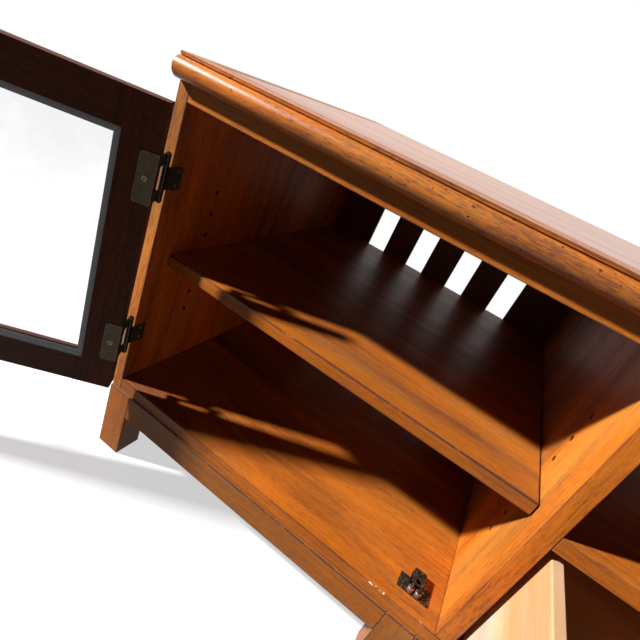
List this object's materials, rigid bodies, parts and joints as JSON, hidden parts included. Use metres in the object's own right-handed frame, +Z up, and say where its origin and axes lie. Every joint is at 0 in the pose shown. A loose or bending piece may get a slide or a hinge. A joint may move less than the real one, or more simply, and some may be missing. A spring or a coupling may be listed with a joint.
{
  "type": "media console",
  "caption": "Low media console on square legs with glass doors, adjustable shelves, an open bay over a deep drawer and cable slots in the back.",
  "frame": {"origin": "on the floor, under the middle of the case in plan, doors and drawer not counted", "axes": "+X to the right along the case, +Y to the back, +Z up; the front faces -Y"},
  "size_m": [1.9176, 0.8655, 0.579],
  "materials": {
    "stained_wood": "satin lacquer over warm brown stain",
    "top_wood": "glossy lacquer over warm brown stain, rubbed edges",
    "door_wood": "satin lacquer over warm brown stain",
    "dark_back": "thin satin lacquer on veneered board",
    "maple": "clear lacquer on pale maple",
    "door_glass": "clear polished glass",
    "glazing_bead": "dark grey, satin",
    "antique_bronze": "dark antique patina with rubbed edges",
    "roller_brass": "worn smooth",
    "zinc_steel": "zinc plated"
  },
  "bodies": {
    "case": {"side_panel_left": "stained_wood", "side_panel_right": "stained_wood", "partition_left": "stained_wood", "partition_right": "stained_wood", "bottom_panel": "stained_wood", "sub_top": "stained_wood", "centre_shelf": "stained_wood", "back_panel_left": "dark_back", "back_panel_centre": "dark_back", "back_panel_right": "dark_back", "top_panel": "top_wood", "top_moulding_front": "top_wood", "top_moulding_left": "top_wood", "top_moulding_right": "top_wood", "shelf_left": "stained_wood", "shelf_right": "stained_wood", "shelf_supports": "zinc_steel", "legs_front": "stained_wood", "legs_rear": "stained_wood", "base_rails_front": "stained_wood", "base_rail_rear": "stained_wood", "base_cross_rails": "stained_wood", "hinge_frame_leaves": "antique_bronze", "hinge_pins": "antique_bronze", "case_screws": "antique_bronze", "catch_bases": "antique_bronze", "slide_cabinet_members": "zinc_steel"},
    "left_door": {"left_door_hinge_stile": "door_wood", "left_door_latch_stile": "door_wood", "left_door_top_rail": "door_wood", "left_door_bottom_rail": "door_wood", "left_door_glass": "door_glass", "left_door_glazing_beads": "glazing_bead", "left_door_hinge_leaves": "antique_bronze", "left_door_screws": "antique_bronze", "left_door_strike": "antique_bronze", "left_door_knob": "antique_bronze"},
    "right_door": {"right_door_hinge_stile": "door_wood", "right_door_latch_stile": "door_wood", "right_door_top_rail": "door_wood", "right_door_bottom_rail": "door_wood", "right_door_glass": "door_glass", "right_door_glazing_beads": "glazing_bead", "right_door_hinge_leaves": "antique_bronze", "right_door_screws": "antique_bronze", "right_door_strike": "antique_bronze", "right_door_knob": "antique_bronze"},
    "drawer": {"drawer_front": "door_wood", "drawer_side_left": "maple", "drawer_side_right": "maple", "drawer_back": "maple", "drawer_bottom": "maple", "drawer_knob": "antique_bronze", "slide_drawer_members": "zinc_steel"},
    "slide_middle": {"slide_middle_members": "zinc_steel"},
    "left_roller_outer": {"left_catch_roller_outer": "roller_brass"},
    "left_roller_inner": {"left_catch_roller_inner": "roller_brass"},
    "right_roller_outer": {"right_catch_roller_outer": "roller_brass"},
    "right_roller_inner": {"right_catch_roller_inner": "roller_brass"}
  },
  "joints": [
    {"name": "left_door_swing", "type": "hinge", "parent": "case", "child": "left_door", "pos_m": [-0.7311, -0.287, 0.335], "axis": [0, 0, 1], "range_deg": [-27, 148]},
    {"name": "right_door_swing", "type": "hinge", "parent": "case", "child": "right_door", "pos_m": [0.7311, -0.287, 0.335], "axis": [0, 0, 1], "range_deg": [0, 175]},
    {"name": "drawer_slide", "type": "slide", "parent": "case", "child": "drawer", "axis": [0, -1, 0], "range_m": [-0.16, 0.2]},
    {"name": "middle_slide", "type": "slide", "parent": "case", "child": "slide_middle", "axis": [0, -1, 0], "range_m": [-0.08, 0.1]},
    {"name": "left_outer_roller_spin", "type": "hinge", "parent": "case", "child": "left_roller_outer", "pos_m": [-0.2504, -0.2545, 0.1428], "axis": [0, 0, 1], "continuous": true},
    {"name": "left_inner_roller_spin", "type": "hinge", "parent": "case", "child": "left_roller_inner", "pos_m": [-0.2406, -0.2545, 0.1428], "axis": [0, 0, 1], "continuous": true},
    {"name": "right_outer_roller_spin", "type": "hinge", "parent": "case", "child": "right_roller_outer", "pos_m": [0.2504, -0.2545, 0.1428], "axis": [0, 0, 1], "continuous": true},
    {"name": "right_inner_roller_spin", "type": "hinge", "parent": "case", "child": "right_roller_inner", "pos_m": [0.2406, -0.2545, 0.1428], "axis": [0, 0, 1], "continuous": true}
  ],
  "couplings": [
    {"joint": "middle_slide", "follows": "drawer_slide", "ratio": 0.5}
  ]
}
